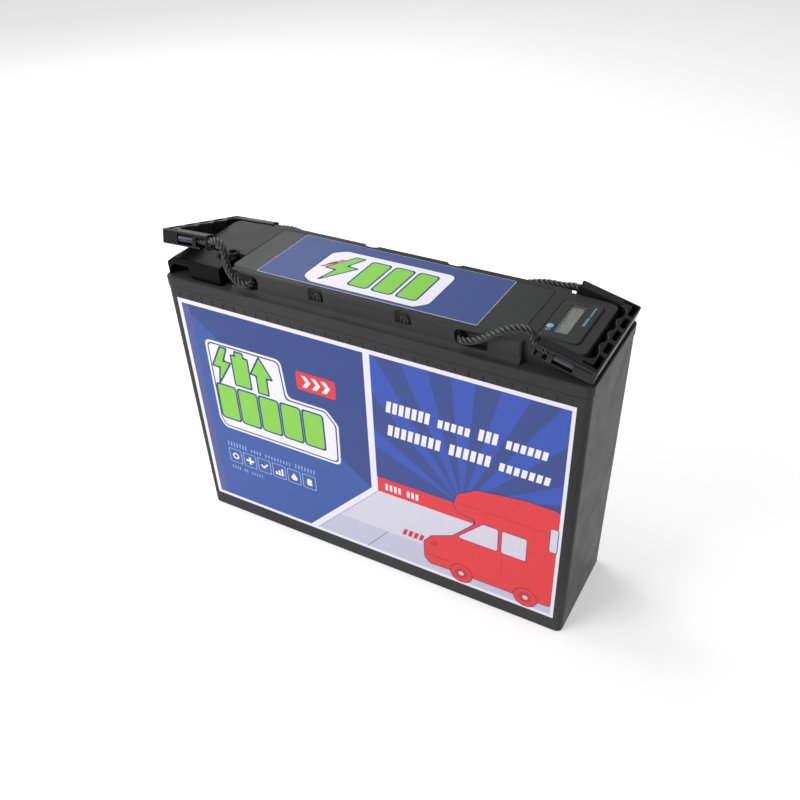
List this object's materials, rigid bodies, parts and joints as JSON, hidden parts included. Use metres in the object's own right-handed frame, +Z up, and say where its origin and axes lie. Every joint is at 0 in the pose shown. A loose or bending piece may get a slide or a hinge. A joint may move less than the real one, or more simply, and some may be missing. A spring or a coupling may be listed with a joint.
{
  "type": "deep cycle battery",
  "caption": "Slim front-terminal deep cycle battery with rope handles on both ends, a terminal cover, a display module and a printed front label.",
  "frame": {"origin": "centre of the footprint on the floor", "axes": "+X along the length towards the display end, -Y out of the labelled front face, +Z up"},
  "size_m": [0.3959, 0.109, 0.3104],
  "materials": {
    "case_plastic": "fine-textured charcoal moulding",
    "panel_plastic": "satin charcoal moulding",
    "cover_plastic": "satin charcoal moulding",
    "seal_rubber": "soft black rubber",
    "label_film": "printed film",
    "clear_lens": "clear polished",
    "lcd_panel": "grey-green liquid crystal panel",
    "circuit_board": "green solder mask",
    "circuit_parts": "moulded component bodies",
    "button_plastic": "light blue satin",
    "grip_plastic": "satin charcoal moulding",
    "ferrule_metal": "dark crimped sleeve",
    "rope_fibre": "black twisted rope",
    "brass": "turned",
    "aluminium": "plain",
    "copper": "plain rolled copper",
    "plated_steel": "zinc plated",
    "insulation": "glass fibre board",
    "strap_band": "polyester band",
    "foam": "closed-cell foam",
    "tray_plastic": "moulded",
    "cell_can": "blue insulating film",
    "cable_red": "silicone sheath",
    "cable_black": "silicone sheath",
    "lead_grey": "flat lead sheath"
  },
  "bodies": {
    "battery": {"case": "case_plastic", "lid_seal": "seal_rubber", "lid": "case_plastic", "cover_panel": "panel_plastic", "front_label": "label_film", "top_label": "label_film", "display_housing": "panel_plastic", "display_lens": "clear_lens", "display_lcd": "lcd_panel", "display_board": "circuit_board", "display_switch": "circuit_parts", "terminal_negative": "brass", "terminal_positive": "brass", "cell_1": "cell_can", "cell_2": "cell_can", "cell_3": "cell_can", "cell_4": "cell_can", "cell_posts": "aluminium", "busbars": "copper", "post_nuts": "plated_steel", "end_lugs": "copper", "cell_separators": "insulation", "insulation_boards": "insulation", "pack_straps": "strap_band", "foam_pad": "foam", "foam_blocks": "foam", "bms_heat_sink": "aluminium", "bms_board": "circuit_board", "bms_components": "circuit_parts", "bms_tray": "tray_plastic", "bms_screws": "plated_steel", "positive_cable": "cable_red", "pack_negative_cable": "cable_black", "output_negative_cable": "cable_black", "balance_lead": "lead_grey", "display_lead": "lead_grey"},
    "handle_right": {"grip_right": "grip_plastic", "ferrules_right": "ferrule_metal", "rope_right": "rope_fibre"},
    "handle_left": {"grip_left": "grip_plastic", "ferrules_left": "ferrule_metal", "rope_left": "rope_fibre"},
    "terminal_cover": {"terminal_cover": "cover_plastic", "cover_tether": "seal_rubber"},
    "display_button": {"display_button": "button_plastic"}
  },
  "joints": [
    {"name": "handle_right_swing", "type": "hinge", "parent": "battery", "child": "handle_right", "pos_m": [0.09, 0, 0.277], "axis": [0, -1, 0], "range_deg": [0, 95]},
    {"name": "handle_left_swing", "type": "hinge", "parent": "battery", "child": "handle_left", "pos_m": [-0.1045, 0, 0.277], "axis": [0, 1, 0], "range_deg": [0, 95]},
    {"name": "terminal_cover_pull", "type": "slide", "parent": "battery", "child": "terminal_cover", "axis": [0, -1, 0], "range_m": [0, 0.045]},
    {"name": "display_button_press", "type": "slide", "parent": "battery", "child": "display_button", "axis": [0, 0, -1], "range_m": [0, 0.0008], "stiffness_N_per_m": 400}
  ]
}
